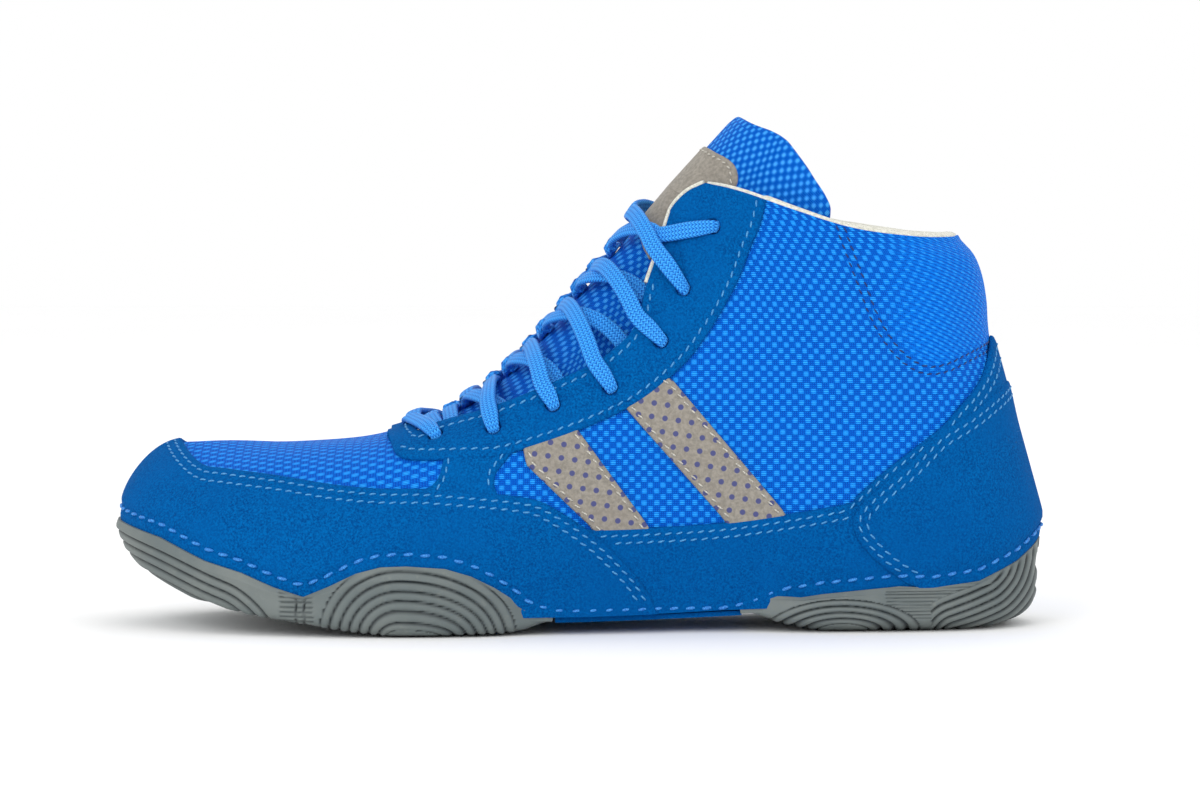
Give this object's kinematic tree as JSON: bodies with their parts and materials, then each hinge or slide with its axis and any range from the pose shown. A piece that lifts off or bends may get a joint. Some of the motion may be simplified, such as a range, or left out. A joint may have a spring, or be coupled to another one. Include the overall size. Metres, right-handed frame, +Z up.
{
  "type": "boxing boot",
  "caption": "Mid-height lace-up boxing and wrestling boot, left foot, with a split ribbed rubber sole, suede guards, mesh quarters and a high padded tongue.",
  "frame": {"origin": "centre of the boot's box in plan, on the ground under the sole", "axes": "+X from the toe to the heel, +Y from the outer (lateral) side to the inner (medial) side, +Z up"},
  "size_m": [0.2852, 0.1038, 0.1553],
  "materials": {
    "suede": "napped suede, matte",
    "mesh": "woven spacer mesh",
    "lining": "brushed cream lining",
    "foam": "foam, fabric faced",
    "board": "stiff fibre board",
    "rubber": "matte moulded rubber",
    "grey_patch": "matte synthetic",
    "lace": "flat woven braid",
    "aglet": "clear blue tube"
  },
  "bodies": {
    "boot": {"aglet_lateral": "aglet", "aglet_medial": "aglet", "arch_cover": "suede", "back_strap": "suede", "collar_foam": "foam", "eyestay_lateral": "suede", "eyestay_medial": "suede", "footbed": "foam", "forefoot_outsole": "rubber", "heel_counter": "board", "heel_counter_cover": "suede", "heel_outsole": "rubber", "lace": "lace", "lace_end_lateral": "lace", "lace_end_medial": "lace", "lasting_board": "board", "midfoot_panel_lateral": "suede", "midfoot_panel_medial": "suede", "quarter_foam_lateral": "foam", "quarter_foam_medial": "foam", "quarter_lining_lateral": "lining", "quarter_lining_medial": "lining", "quarter_mesh_lateral": "mesh", "quarter_mesh_medial": "mesh", "saddle_strap_lateral": "suede", "saddle_strap_medial": "suede", "stripe_front_lateral": "grey_patch", "stripe_front_medial": "grey_patch", "stripe_rear_lateral": "grey_patch", "stripe_rear_medial": "grey_patch", "toe_mudguard": "suede", "toe_puff": "board", "tongue_lower": "mesh", "vamp_interlining": "foam", "vamp_lining": "lining", "vamp_mesh": "mesh"},
    "tongue_fold": {"tongue_top": "mesh", "tongue_label": "grey_patch"}
  },
  "joints": [
    {"name": "tongue_hinge", "type": "hinge", "parent": "boot", "child": "tongue_fold", "pos_m": [0.0282, 0, 0.1334], "axis": [0, 1, 0], "range_deg": [-60, 0]}
  ]
}
